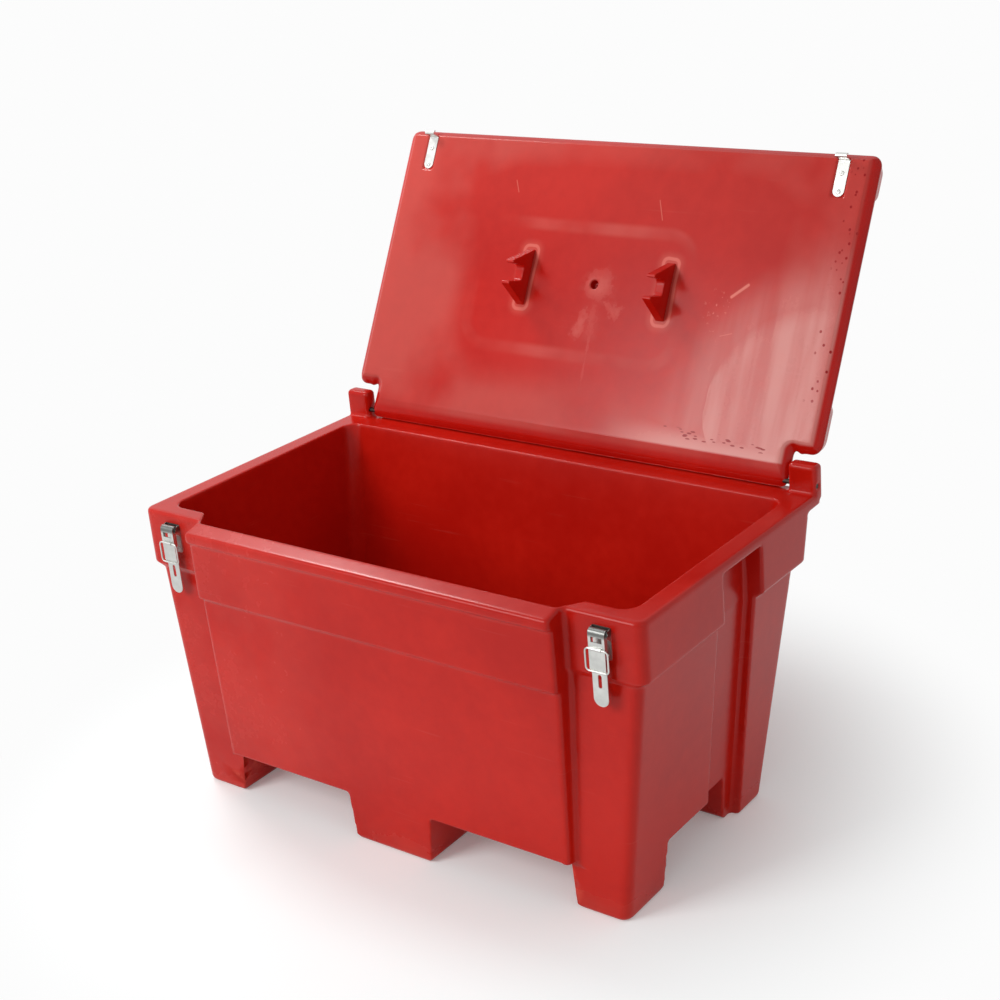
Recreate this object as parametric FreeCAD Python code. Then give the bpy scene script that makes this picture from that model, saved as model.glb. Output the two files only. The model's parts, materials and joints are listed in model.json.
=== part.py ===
import FreeCAD, Part
import math
import os

from FreeCAD import Vector

# Grit salt bin: a rotationally moulded tub on six feet, a hinged lid that stands open,
# two tool clips inside the lid and a stainless toggle latch on each front corner.
# All sizes are millimetres. X runs along the front, +Y to the back and +Z up.
# The origin is on the ground, under the middle of the rim.

# Tub: the rim and its band.
rim_width = 1216.0
rim_depth = 667.0
rim_height = 622.0
side_band = 46.0
corner_band = 38.0
lip_band = 40.0
hinge_shelf = 76.0
shelf_thickness = 25.0
shelf_overhang = 51.0

# Tub: the front panel stands forward between the two recessed corners.
lip_step = 46.0
lip_drop = 10.0
lip_height = 25.0
lip_overhang = 9.0
lip_slant = 6.0
shelf_slant = 2.0
corner_width_top = 163.0
corner_width_ground = 111.0
panel_front_ground = 20.0
crease_below_rim = 160.0
crease_step = 10.0

# Tub: corner columns, and the proud corner blocks above them.
block_height = 118.0
block_slant = 12.0
block_proud_front = 7.0
block_proud_side = 17.0
block_proud_back = 40.0
column_half_ground = 541.0
column_back_taper = 70.0
column_front_taper = 11.0
column_corner_radius = 20.0
step_radius = 9.0

# Tub: the recess in each end, between the front and rear columns.
recess_front = -60.0
recess_width = 142.0
recess_depth = 38.0
recess_below_rim = 20.0
recess_draft = 7.0

# Tub: feet, fork pockets and the salt space.
pocket_height = 104.0
foot_draft = 8.0
centre_foot_half = 97.0
leg_depth = 128.0
foot_round = 8.0
foot_round_steps = 2
floor_height = 125.0
wall_ground = 38.0
inner_radius = 32.0
inner_step_radius = 12.0
floor_radius = 26.0
floor_round_steps = 3
rim_round = 8.0

# Hinge: a lug on each rear corner, with a pin that runs into the end of the lid's barrel.
lug_width = 62.0
lug_depth = 32.0
lug_height = 60.0
lug_round = 9.0
hinge_rise = 16.0
hinge_from_back = 20.5
barrel_radius = 13.0
barrel_end_gap = 6.0
hinge_pin_radius = 5.0
hinge_pin_depth = 60.0
hinge_pin_recess = 2.0
running_clearance = 0.08

# Lid: sizes with the lid closed. It is turned open at the end.
lid_gap = 1.0
lid_front_setback = 27.0
lid_side_setback = 8.0
lid_thickness = 30.0
lid_corner_radius = 22.0
lid_edge_flat = 3.0
lid_open_angle = 118.4
notch_depth = 80.0
notch_radius = 28.0
corner_pad = 98.0
corner_pad_height = 20.0
corner_pad_draft = 8.0
field_height = 6.0
field_margin = 105.0
stop_gap = 0.5
stop_reach = 18.0
stop_round = 1.5
lid_hole_radius = 10.0
lid_hole_depth = 18.0
lid_hole_from_hinge = 346.0

# Tool clips, one each side of the hole in the lid.
clip_spacing = 362.0
clip_thickness = 21.0
clip_base = 126.0
clip_reach = 71.0
clip_near = 283.0
clip_tip_far = 363.0
clip_tip_near = 317.0
clip_tip_width = 6.0
clip_throat_near = 331.0
clip_throat_far = 366.0
clip_throat_floor = 28.0
clip_throat_round = 9.0

# Keepers: a stainless strap with a turned-down, hooked end, and two screws each.
latch_from_end = 83.0
keeper_from_front = 16.0
keeper_width = 25.0
keeper_sheet = 2.5
keeper_length = 75.0
keeper_drop = 20.0
keeper_hook = 6.0
keeper_recess = 4.0
keeper_recess_margin = 3.0
screw_first = 27.0
screw_pitch = 38.0
screw_head_radius = 5.0
screw_head_height = 2.0
screw_shank_radius = 2.4
screw_shank_length = 16.0
screw_hole_clearance = 0.3

# Latches: base with two ears, lever, lever pin and wire loop.
latch_sheet = 1.5
base_height = 62.0
base_top_above_pin = 9.0
base_top_round = 3.0
base_foot_round = 6.0
pin_stand_off = 10.5
pin_radius = 2.0
pin_head_radius = 3.2
pin_head_height = 1.6
ear_gap = 0.4
ear_half = 5.0
ear_beyond_pin = 4.0
ear_round = 4.5
lever_width = 34.0
arch_radius = 8.5
lever_plate_length = 69.0
lever_flange_length = 36.0
lever_jog = 4.0
plate_round = 2.0
flange_round = 6.0
lever_total = 140.0
tongue_width = 31.0
tongue_slot_width = 7.5
tongue_slot_length = 26.0
tongue_slot_from_end = 36.0
window_width = 23.0
window_height = 10.0
window_drop = 5.0
wire_radius = 1.75
loop_half = 23.5
loop_length = 43.0
loop_pivot_drop = 27.0
loop_bend_cut = 6.0
curl_width = 21.0
curl_sheet = 1.2
rivet_radius = 2.0
rivet_head_radius = 3.6
rivet_head_height = 1.4
rivet_length = 12.0
rivet_spacing = 18.0
rivet_row_from_foot = 9.0

# Small allowances: how far a cut passes a face or an edge may lie from where it is looked for,
# the straight left between the two arcs of a round end, and how much of a head is cone.
spare = 1.0
round_end_slack = 0.1
head_round_share = 0.5

# Places that several pieces share.
half_width = rim_width / 2.0
block_front = -rim_depth / 2.0
shelf_back = rim_depth / 2.0
lip_front = block_front - lip_step
panel_front_top = lip_front + lip_overhang
crease_z = rim_height - crease_below_rim
block_bottom = rim_height - block_height
column_top = block_bottom - block_slant
block_back = shelf_back - shelf_overhang
column_front = block_front + block_proud_front
column_half = half_width - block_proud_side
panel_half_top = half_width - corner_width_top
panel_half_ground = column_half_ground - corner_width_ground
column_back = block_back - block_proud_back
leg_front_ground = column_front - column_front_taper
leg_back_ground = column_back - column_back_taper
hinge_y = shelf_back - hinge_from_back
hinge_z = rim_height + hinge_rise
lug_inner = half_width - lug_width
lug_front = shelf_back - lug_depth
barrel_half = lug_inner - barrel_end_gap
lid_under = rim_height + lid_gap
lid_top = lid_under + lid_thickness
lid_edge_round = (lid_thickness - lid_edge_flat) / 2.0
lid_front = lip_front + lid_front_setback
lid_half = half_width - lid_side_setback
latch_x = half_width - latch_from_end
keeper_y = lid_front + keeper_from_front
keeper_bottom = lid_under - keeper_drop
hooked_wire_z = keeper_bottom + keeper_sheet + wire_radius
loop_out = pin_stand_off + arch_radius + wire_radius + running_clearance
hook_out = block_front - keeper_y + keeper_sheet + wire_radius
loop_rise = math.sqrt(loop_length ** 2 - (loop_out - hook_out) ** 2)
pin_z = hooked_wire_z + loop_pivot_drop - loop_rise
base_half = lever_width / 2.0 + ear_gap + latch_sheet


def save(shape, name):
    """Write one node, after a check that its solids are sound."""
    assert shape.isValid(), name
    shape.exportStep("parts/" + name + ".step")


def rounded_wire(corners):
    """Closed flat wire through (point, radius) corners, each rounded by a tangent arc."""
    count = len(corners)
    starts = []
    ends = []
    middles = []
    for i in range(count):
        point, radius = corners[i]
        back = (corners[i - 1][0] - point).normalize()
        ahead = (corners[(i + 1) % count][0] - point).normalize()
        if radius <= 0.0:
            starts.append(point)
            ends.append(point)
            middles.append(None)
            continue
        half_angle = back.getAngle(ahead) / 2.0
        reach = radius / math.tan(half_angle)
        towards = (back + ahead).normalize()
        centre = point + towards * (radius / math.sin(half_angle))
        starts.append(point + back * reach)
        ends.append(point + ahead * reach)
        middles.append(centre - towards * radius)
    edges = []
    for i in range(count):
        if middles[i] is not None:
            edges.append(Part.Arc(starts[i], middles[i], ends[i]).toShape())
        following = starts[(i + 1) % count]
        if (following - ends[i]).Length > 1e-6:
            edges.append(Part.LineSegment(ends[i], following).toShape())
    return Part.Wire(edges)


def plan_wire(right_half, z):
    """Wire at height z from its right half, given front to back as (x, y, radius)."""
    corners = [(Vector(x, y, z), r) for x, y, r in right_half]
    corners += [(Vector(-x, y, z), r) for x, y, r in reversed(right_half)]
    return rounded_wire(corners)


def prism(corners, direction):
    """Solid swept from a rounded outline along one straight direction."""
    return Part.Face(rounded_wire(corners)).extrude(direction)


def profile_yz(points, x_from, x_to):
    """Solid with the given (y, z, radius) section between two places on X."""
    corners = [(Vector(x_from, y, z), r) for y, z, r in points]
    return prism(corners, Vector(x_to - x_from, 0, 0))


def box(low, high):
    """Box between two corners."""
    size = [high[i] - low[i] for i in range(3)]
    return Part.makeBox(size[0], size[1], size[2], Vector(*low))


def blend(low, high, share):
    """Value a share of the way from low to high."""
    return low + (high - low) * share


def round_levels(radius, steps):
    """Heights and insets of the levels that round the bottom edge of an upright wall."""
    levels = []
    for step in range(steps + 1):
        turn = math.pi / 2.0 * step / steps
        levels.append((radius * (1.0 - math.cos(turn)), radius * (1.0 - math.sin(turn))))
    return levels


def cylinder_x(radius, x_from, x_to, y, z):
    """Round bar along X."""
    return Part.makeCylinder(radius, x_to - x_from, Vector(x_from, y, z), Vector(1, 0, 0))


def lid_turned(shape):
    """Turn a piece of the closed lid to the open pose about the hinge line."""
    turned = shape.copy()
    turned.rotate(Vector(0, hinge_y, hinge_z), Vector(1, 0, 0), -lid_open_angle)
    return turned


def mirrored(shape):
    """Copy for the other end of the bin."""
    return shape.mirror(Vector(0, 0, 0), Vector(1, 0, 0))


def tub_section(z, panel_front, inset, back, proud):
    """Outer outline of the tub at height z. The columns taper from the blocks to the ground."""
    share = min(z / column_top, 1.0)
    panel_half = blend(panel_half_ground, panel_half_top, share) - inset
    front = blend(leg_front_ground, column_front, share) - proud * block_proud_front + inset
    half = blend(column_half_ground, column_half, share) + proud * block_proud_side - inset
    return plan_wire([
        (panel_half, panel_front + inset, step_radius),
        (panel_half, front, step_radius),
        (half, front, column_corner_radius),
        (half, back - inset, column_corner_radius),
    ], z)


def lip_slope():
    """What is taken off the front lip so that its top slopes down and out, clear of the lid."""
    ridge = block_front - step_radius
    out = lip_front - lip_drop
    fall = lip_drop * (ridge - out) / (ridge - lip_front)
    return profile_yz([
        (ridge, rim_height, 0.0),
        (out, rim_height - fall, 0.0),
        (out, rim_height + lip_drop, 0.0),
        (ridge, rim_height + lip_drop, 0.0),
    ], -half_width, half_width)


def tub_shell():
    """Outside of the tub: ground, front crease, block slant, lip and hinge shelf by height."""
    panel_ground = leg_front_ground - panel_front_ground
    panel_crease = panel_front_top + crease_step
    lip_bottom = rim_height - lip_drop - lip_height

    def back_at(z):
        return blend(leg_back_ground, column_back, min(z / column_top, 1.0))

    shelf_under = rim_height - shelf_thickness
    rim_under = shelf_under + shelf_slant
    sections = []
    for rise, inset in round_levels(foot_round, foot_round_steps):
        sections.append(tub_section(rise, panel_ground, inset, leg_back_ground, 0.0))
    sections += [
        tub_section(crease_z, panel_crease, 0.0, back_at(crease_z), 0.0),
        tub_section(crease_z + crease_step / 2.0, panel_front_top, 0.0, back_at(crease_z), 0.0),
        tub_section(column_top, panel_front_top, 0.0, column_back, 0.0),
        tub_section(block_bottom, panel_front_top, 0.0, block_back - block_proud_back / 2.0, 1.0),
        tub_section(lip_bottom, panel_front_top, 0.0, block_back, 1.0),
        tub_section(lip_bottom + lip_slant, lip_front, 0.0, block_back, 1.0),
        tub_section(shelf_under, lip_front, 0.0, block_back, 1.0),
        tub_section(rim_under, lip_front, 0.0, shelf_back, 1.0),
    ]
    rim = Part.Face(sections[-1]).extrude(Vector(0, 0, rim_height - rim_under))
    rim = rim.cut(lip_slope())
    ridge = block_front - step_radius
    top_edges = []
    for edge in rim.Edges:
        bounds = edge.BoundBox
        on_top = bounds.ZMin > rim_height - lip_drop - spare
        on_ridge = bounds.YMax - bounds.YMin < spare and abs(bounds.YMin - ridge) < spare
        if on_top and not on_ridge:
            top_edges.append(edge)
    rim = rim.makeFillet(rim_round, top_edges)
    return Part.makeLoft(sections, True, True).fuse(rim)


def salt_space():
    """Inside of the tub, with the same step behind the front panel and a rounded floor."""
    wall = wall_ground
    step_half_top = panel_half_top + side_band / 2.0

    def section(z, inset):
        share = (z - floor_height) / (rim_height - floor_height)
        low = floor_height / column_top
        half_low = blend(column_half_ground, column_half, low) - wall
        back_low = blend(leg_back_ground, column_back, low) - wall
        front_low = blend(leg_front_ground, column_front, low) + wall
        panel_low = leg_front_ground - panel_front_ground + wall
        front = blend(front_low, block_front + corner_band, share) + inset
        half = blend(half_low, half_width - side_band, share) - inset
        return plan_wire([
            (blend(panel_half_ground - wall / 2.0, panel_half_top - lip_overhang, share) - inset,
             blend(panel_low, lip_front + lip_band, share) + inset, inner_step_radius),
            (blend(panel_half_ground + wall / 2.0, step_half_top, share) - inset,
             front, inner_step_radius),
            (half, front, inner_radius),
            (half, blend(back_low, shelf_back - hinge_shelf, share) - inset, inner_radius),
        ], z)

    sections = []
    for rise, inset in round_levels(floor_radius, floor_round_steps):
        sections.append(section(floor_height + rise, inset))
    sections.append(section(rim_height + spare, 0.0))
    return Part.makeLoft(sections, True, True)


def end_recess():
    """Upright recess in the right end, deeper in the block than at the ground."""
    low_face = column_half_ground - recess_depth + block_proud_side
    high_face = half_width - recess_depth
    back = recess_front + recess_width
    sections = []
    for z, face in ((-spare, low_face), (column_top, column_half - recess_depth + block_proud_side),
                    (rim_height - recess_below_rim, high_face)):
        outside = half_width + recess_depth
        corners = [
            (Vector(face, recess_front + recess_draft, z), recess_draft),
            (Vector(outside, recess_front - recess_draft, z), 0.0),
            (Vector(outside, back + recess_draft, z), 0.0),
            (Vector(face, back - recess_draft, z), recess_draft),
        ]
        sections.append(rounded_wire(corners))
    return Part.makeLoft(sections, True, True)


def fork_pockets():
    """Two pockets from front to back and one from end to end, with drafted, rounded feet."""
    below = -foot_round
    over = rim_depth
    roof = pocket_height
    pockets = []
    leg_inner = panel_half_ground
    section = [
        (centre_foot_half - foot_round, below, 0.0),
        (centre_foot_half - foot_round, 0.0, 0.0),
        (centre_foot_half, foot_round, foot_round),
        (centre_foot_half + foot_draft, roof, foot_round),
        (leg_inner - foot_draft, roof, foot_round),
        (leg_inner, foot_round, foot_round),
        (leg_inner + foot_round, 0.0, 0.0),
        (leg_inner + foot_round, below, 0.0),
    ]
    corners = [(Vector(x, -over, z), r) for x, z, r in section]
    right = prism(corners, Vector(0, 2 * over, 0))
    pockets.append(right)
    pockets.append(mirrored(right))
    front = leg_front_ground + leg_depth
    back = leg_back_ground - leg_depth
    pockets.append(profile_yz([
        (front - foot_round, below, 0.0),
        (front - foot_round, 0.0, 0.0),
        (front, foot_round, foot_round),
        (front + foot_draft, roof, foot_round),
        (back - foot_draft, roof, foot_round),
        (back, foot_round, foot_round),
        (back + foot_round, 0.0, 0.0),
        (back + foot_round, below, 0.0),
    ], -rim_width, rim_width))
    return pockets


def lug():
    """Right hinge lug on the rear corner, and its bore for the pin."""
    body = box((lug_inner, lug_front, rim_height - shelf_thickness / 2.0),
               (half_width, shelf_back, rim_height + lug_height))
    upper = []
    for edge in body.Edges:
        if edge.BoundBox.ZMax > rim_height + lug_height - spare:
            upper.append(edge)
    return body.makeFillet(lug_round, upper)


def make_tub():
    """The moulded tub with its lugs, pin bores, end recesses, pockets and salt space."""
    body = tub_shell().fuse([lug(), mirrored(lug())])
    bore = cylinder_x(hinge_pin_radius, lug_inner - lug_width, rim_width, hinge_y, hinge_z)
    tools = [end_recess(), mirrored(end_recess()), bore, mirrored(bore), salt_space()]
    for side in (-1, 1):
        for place in rivet_places(side):
            tools.append(Part.makeCylinder(rivet_radius, rivet_length, place, Vector(0, 1, 0)))
    return body.cut(tools + fork_pockets())


def lid_plate():
    """Closed lid with rounded edges and a notch for each lug. Its round rear edge is the barrel."""
    notch_y = hinge_y - notch_depth
    outline = plan_wire([
        (lid_half, lid_front, lid_corner_radius),
        (lid_half, notch_y, lid_corner_radius),
        (barrel_half, notch_y, notch_radius),
        (barrel_half, hinge_y + barrel_radius, lid_edge_round + spare),
    ], lid_under)
    plate = Part.Face(outline).extrude(Vector(0, 0, lid_thickness))
    rounded = []
    for edge in plate.Edges:
        bounds = edge.BoundBox
        if bounds.ZMax - bounds.ZMin < spare:
            rounded.append(edge)
    return plate.makeFillet(lid_edge_round, rounded)


def lid_stop():
    """Ledge along the barrel that lands on the rim when the lid is fully open."""
    low = rim_height + stop_gap
    ledge = profile_yz([
        (hinge_y, low, 0.0),
        (hinge_y + stop_reach, low, stop_round),
        (hinge_y + stop_reach, low + barrel_radius / 2.0, stop_round),
        (hinge_y, hinge_z, 0.0),
    ], -barrel_half + lid_corner_radius, barrel_half - lid_corner_radius)
    ledge.rotate(Vector(0, hinge_y, hinge_z), Vector(1, 0, 0), lid_open_angle)
    return ledge


def tapered_block(low, high, z_low, z_high, draft, radius):
    """Block with rounded corners whose walls lean in by the draft towards the top."""
    wires = []
    for z, lean in ((z_low, 0.0), (z_high, draft)):
        corners = [
            (Vector(low[0] + lean, low[1] + lean, z), radius),
            (Vector(high[0] - lean, low[1] + lean, z), radius),
            (Vector(high[0] - lean, high[1] - lean, z), radius),
            (Vector(low[0] + lean, high[1] - lean, z), radius),
        ]
        wires.append(rounded_wire(corners))
    return Part.makeLoft(wires, True, True)


def lid_top_forms():
    """Raised pads on the four corners of the lid's outer skin, and the raised middle field."""
    pad_foot = lid_top - lid_edge_round
    pad_top = lid_top + corner_pad_height
    outer = lid_half - spare
    notch_y = hinge_y - notch_depth
    inner = outer - corner_pad
    pads = [
        tapered_block((inner, lid_front + spare), (outer, lid_front + corner_pad),
                      pad_foot, pad_top, corner_pad_draft, lid_corner_radius - spare),
        tapered_block((inner, notch_y - corner_pad), (outer, notch_y - spare),
                      pad_foot, pad_top, corner_pad_draft, lid_corner_radius - spare),
    ]
    field = tapered_block((-lid_half + field_margin, lid_front + field_margin),
                          (lid_half - field_margin, hinge_y - field_margin),
                          lid_top - spare, lid_top + field_height, field_height,
                          lid_corner_radius)
    return pads + [mirrored(pad) for pad in pads] + [field]


def keeper_pocket(side):
    """Shallow recess in the lid's underside that a keeper lies in."""
    margin = keeper_recess_margin
    reach = keeper_width / 2.0 + margin
    low = (side * latch_x - reach, keeper_y - keeper_sheet - margin)
    high = (side * latch_x + reach, keeper_y + keeper_length + margin)
    return tapered_block(low, high, lid_under - spare, lid_under + keeper_recess,
                         margin / 3.0, margin)


def round_head(radius, height, foot, direction):
    """Low round head: a short cylinder under a flat cone."""
    straight = height * (1.0 - head_round_share)
    step = direction * straight
    base = Part.makeCylinder(radius, straight, foot, direction)
    cap = Part.makeCone(radius, radius - height * head_round_share, height - straight,
                        foot + step, direction)
    return base.fuse(cap)


def screw_places(side):
    """Centres of a keeper's two screws."""
    return [(side * latch_x, keeper_y + screw_first + i * screw_pitch) for i in range(2)]


def make_lid():
    """The moulded lid, closed: plate, barrel, pads, pin bores, keeper recesses and hole."""
    lid = lid_plate().fuse([lid_stop()] + lid_top_forms())
    bore_radius = hinge_pin_radius + running_clearance
    tools = []
    for side in (-1, 1):
        tools.append(keeper_pocket(side))
        inner = barrel_half - hinge_pin_depth - spare
        bore = cylinder_x(bore_radius, inner, half_width, hinge_y, hinge_z)
        tools.append(bore if side > 0 else mirrored(bore))
        for x, y in screw_places(side):
            radius = screw_shank_radius
            tools.append(Part.makeCylinder(radius, screw_shank_length, Vector(x, y, lid_under)))
    tools.append(Part.makeCylinder(lid_hole_radius, lid_hole_depth,
                                   Vector(0, hinge_y - lid_hole_from_hinge, lid_under)))
    return lid.cut(tools)


def hinge_pin():
    """Right hinge pin: tight in the lug, running in the barrel."""
    return cylinder_x(hinge_pin_radius, barrel_half - hinge_pin_depth,
                      half_width - hinge_pin_recess, hinge_y, hinge_z)


def tool_clip():
    """Right tool clip of the closed lid: two pointed jaws that open downwards round a throat."""
    x_from = (clip_spacing - clip_thickness) / 2.0
    half_tip = clip_tip_width / 2.0
    blunt = clip_tip_width / 3.0
    corners = []
    for s, n, radius in (
            (clip_near, 0.0, 0.0),
            (clip_tip_near - half_tip, clip_reach, blunt),
            (clip_tip_near + half_tip, clip_reach, blunt),
            (clip_throat_near, clip_throat_floor, clip_throat_round),
            (clip_throat_far, clip_throat_floor, clip_throat_round),
            (clip_tip_far - half_tip, clip_reach, blunt),
            (clip_tip_far + half_tip, clip_reach, blunt),
            (clip_near + clip_base, 0.0, 0.0)):
        corners.append((Vector(x_from, hinge_y - s, lid_under - n), radius))
    return prism(corners, Vector(clip_thickness, 0, 0))


def strap_plan(x, y_from, y_to, width, z, sheet):
    """Flat strip along Y with a round far end."""
    half = width / 2.0
    corners = [
        (Vector(x - half, y_from, z), 0.0),
        (Vector(x + half, y_from, z), 0.0),
        (Vector(x + half, y_to, z), half - round_end_slack),
        (Vector(x - half, y_to, z), half - round_end_slack),
    ]
    return prism(corners, Vector(0, 0, sheet))


def sheet_profile(points, thickness):
    """Closed outline of bent sheet along (a, b, radius) points on its middle line."""
    half = thickness / 2.0
    count = len(points)
    left = []
    right = []
    for i in range(count):
        a, b, radius = points[i]
        before = points[max(i - 1, 0)]
        after = points[min(i + 1, count - 1)]
        into = (a - before[0], b - before[1]) if i > 0 else (after[0] - a, after[1] - b)
        away = (after[0] - a, after[1] - b) if i < count - 1 else into
        into_length = math.hypot(*into)
        away_length = math.hypot(*away)
        n1 = (-into[1] / into_length, into[0] / into_length)
        n2 = (-away[1] / away_length, away[0] / away_length)
        scale = half / (1.0 + n1[0] * n2[0] + n1[1] * n2[1])
        da = (n1[0] + n2[0]) * scale
        db = (n1[1] + n2[1]) * scale
        turn = into[0] * away[1] - into[1] * away[0]
        wide = radius + half if radius > 0.0 else 0.0
        tight = radius - half if radius > 0.0 else 0.0
        left.append((a + da, b + db, tight if turn > 0 else wide))
        right.append((a - da, b - db, wide if turn > 0 else tight))
    return left + right[::-1]


def keeper(side):
    """Keeper on the closed lid: strap in its recess, turned down at the front and hooked."""
    x = side * latch_x
    half = keeper_width / 2.0
    seat = lid_under + keeper_recess - keeper_sheet / 2.0
    tab_y = keeper_y - keeper_sheet / 2.0
    low = keeper_bottom + keeper_sheet / 2.0
    bend = keeper_sheet
    line = [
        (keeper_y + keeper_length / 2.0, seat, 0.0),
        (tab_y, seat, bend),
        (tab_y, low, bend),
        (tab_y - keeper_hook, low, bend),
        (tab_y - keeper_hook - keeper_sheet, low + keeper_hook, 0.0),
    ]
    bent = profile_yz(sheet_profile(line, keeper_sheet), x - half, x + half)
    strap = strap_plan(x, keeper_y + keeper_length / 3.0, keeper_y + keeper_length,
                       keeper_width, seat - keeper_sheet / 2.0, keeper_sheet)
    holes = []
    for hole_x, hole_y in screw_places(side):
        radius = screw_shank_radius + screw_hole_clearance
        foot = Vector(hole_x, hole_y, lid_under)
        holes.append(Part.makeCylinder(radius, keeper_recess * 2.0, foot))
    return bent.fuse(strap).removeSplitter().cut(holes)


def keeper_screws(side):
    """The two pan-head screws of a keeper, as separate solids."""
    under = lid_under + keeper_recess - keeper_sheet
    screws = []
    for x, y in screw_places(side):
        head = round_head(screw_head_radius, screw_head_height, Vector(x, y, under),
                          Vector(0, 0, -1))
        top = lid_under + screw_shank_length
        shank = Part.makeCylinder(screw_shank_radius, top - under, Vector(x, y, under))
        screws.append(head.fuse(shank).removeSplitter())
    return Part.makeCompound(screws)


def at_latch(side, across, out, up):
    """Point of a latch: across from its middle, out from the block face, up from its pin."""
    return Vector(side * latch_x + across, block_front - out, pin_z + up)


def latch_prism(side, points, across_from, across_to):
    """Solid with an (out, up, radius) section, between two places across a latch."""
    corners = [(at_latch(side, across_from, out, up), r) for out, up, r in points]
    return prism(corners, Vector(across_to - across_from, 0, 0))


def latch_bar(side, radius, across_from, across_to, out, up):
    """Round bar across a latch."""
    return Part.makeCylinder(radius, across_to - across_from,
                             at_latch(side, across_from, out, up), Vector(1, 0, 0))


def rivet_places(side):
    """Centres of the two rivets that hold a base to the tub."""
    up = base_top_above_pin - base_height + rivet_row_from_foot
    return [at_latch(side, across, 0.0, up) for across in (-rivet_spacing / 2.0,
                                                           rivet_spacing / 2.0)]


def latch_base(side):
    """Stainless base plate with two ears that hold the lever pin."""
    half = base_half
    top = base_top_above_pin
    corners = [
        (at_latch(side, -half, 0.0, top), base_top_round),
        (at_latch(side, half, 0.0, top), base_top_round),
        (at_latch(side, half, 0.0, top - base_height), base_foot_round),
        (at_latch(side, -half, 0.0, top - base_height), base_foot_round),
    ]
    plate = prism(corners, Vector(0, -latch_sheet, 0))
    ear = [
        (0.0, top, 0.0),
        (pin_stand_off + ear_beyond_pin, ear_half, ear_round),
        (pin_stand_off + ear_beyond_pin, -ear_half, ear_round),
        (0.0, -top * 2.0, 0.0),
    ]
    ears = [latch_prism(side, ear, -half, -half + latch_sheet),
            latch_prism(side, ear, half - latch_sheet, half)]
    body = plate.fuse(ears)
    tools = [latch_bar(side, pin_radius, -half - spare, half + spare, pin_stand_off, 0.0)]
    for place in rivet_places(side):
        tools.append(Part.makeCylinder(rivet_radius, latch_sheet * 2.0,
                                       place + Vector(0, latch_sheet, 0), Vector(0, -1, 0)))
    return body.cut(tools)


def latch_pin(side):
    """Headed lever pin through the base's ears and the lever's flanges."""
    reach = base_half + ear_gap / 2.0
    shank = latch_bar(side, pin_radius, -reach, reach, pin_stand_off, 0.0)
    heads = [latch_bar(side, pin_head_radius, reach, reach + pin_head_height, pin_stand_off, 0.0),
             latch_bar(side, pin_head_radius, -reach - pin_head_height, -reach,
                       pin_stand_off, 0.0)]
    return shank.fuse(heads).removeSplitter()


def latch_rivets(side):
    """Two domed rivets, as separate solids."""
    rivets = []
    for place in rivet_places(side):
        face = place + Vector(0, -latch_sheet, 0)
        head = round_head(rivet_head_radius, rivet_head_height, face, Vector(0, -1, 0))
        shank = Part.makeCylinder(rivet_radius, rivet_length, face, Vector(0, 1, 0))
        rivets.append(head.fuse(shank).removeSplitter())
    return Part.makeCompound(rivets)


def edges_through_sheet(sheet, up):
    """Short edges across a sheet's thickness at one height of a latch."""
    found = []
    for edge in sheet.Edges:
        bounds = edge.BoundBox
        if bounds.ZMax < pin_z + up + spare and bounds.YMax - bounds.YMin > latch_sheet / 2.0:
            found.append(edge)
    return found


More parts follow.
